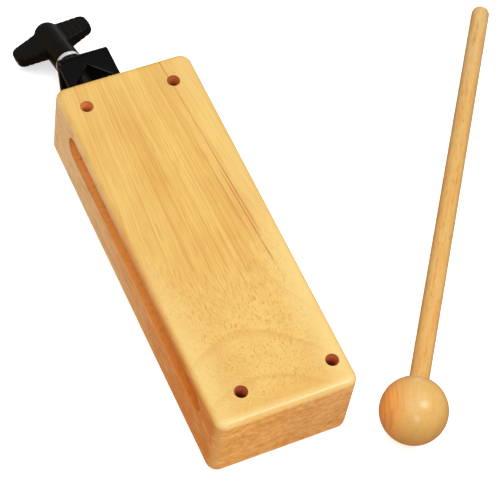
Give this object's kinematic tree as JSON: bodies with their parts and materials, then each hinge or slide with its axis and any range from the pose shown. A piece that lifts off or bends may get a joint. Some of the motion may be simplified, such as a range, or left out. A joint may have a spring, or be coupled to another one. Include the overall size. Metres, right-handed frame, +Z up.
{
  "type": "woodblock with beater",
  "caption": "Rounded wooden percussion block with a long side slot, a bent steel rod clamp tightened by a wing bolt, and a ball-headed wooden beater lying beside it.",
  "frame": {"origin": "middle of the set's footprint on the table, at table height", "axes": "+Y towards the clamp's end of the block, +Z up, +X from the block towards the beater's handle; the block leans back-up by 8.2 degrees as it rests on its front edge and on the clamp"},
  "size_m": [0.2602, 0.3168, 0.0698],
  "materials": {
    "block_wood": "clear gloss lacquer",
    "black_paint": "satin black",
    "bright_zinc": "bright zinc plate",
    "black_steel": "black oxide",
    "black_moulding": "satin black moulding",
    "beater_wood": "satin lacquer"
  },
  "bodies": {
    "block": {"block_body": "block_wood", "clamp_strap": "black_paint", "strap_screws": "bright_zinc", "weld_nut": "black_paint"},
    "bolt_carriage": {"thrust_washer": "bright_zinc"},
    "wing_bolt": {"wing_stud": "black_steel", "wing_handle": "black_moulding"},
    "beater": {"beater_head": "beater_wood", "beater_handle": "beater_wood"}
  },
  "joints": [
    {"name": "wing_feed", "type": "slide", "parent": "block", "child": "bolt_carriage", "axis": [0, 0.967, -0.2546], "range_m": [0, 0.0125]},
    {"name": "wing_turn", "type": "hinge", "parent": "bolt_carriage", "child": "wing_bolt", "pos_m": [-0.09832, 0.11201, 0.0212], "axis": [0, 0.967, -0.2546], "range_deg": [0, 2880]},
    {"name": "beater_lift", "type": "slide", "parent": "block", "child": "beater", "axis": [0, 0, 1], "range_m": [0, 0.15]}
  ],
  "couplings": [
    {"joint": "wing_feed", "follows": "wing_turn", "m_per_rad": 0.00019894}
  ]
}
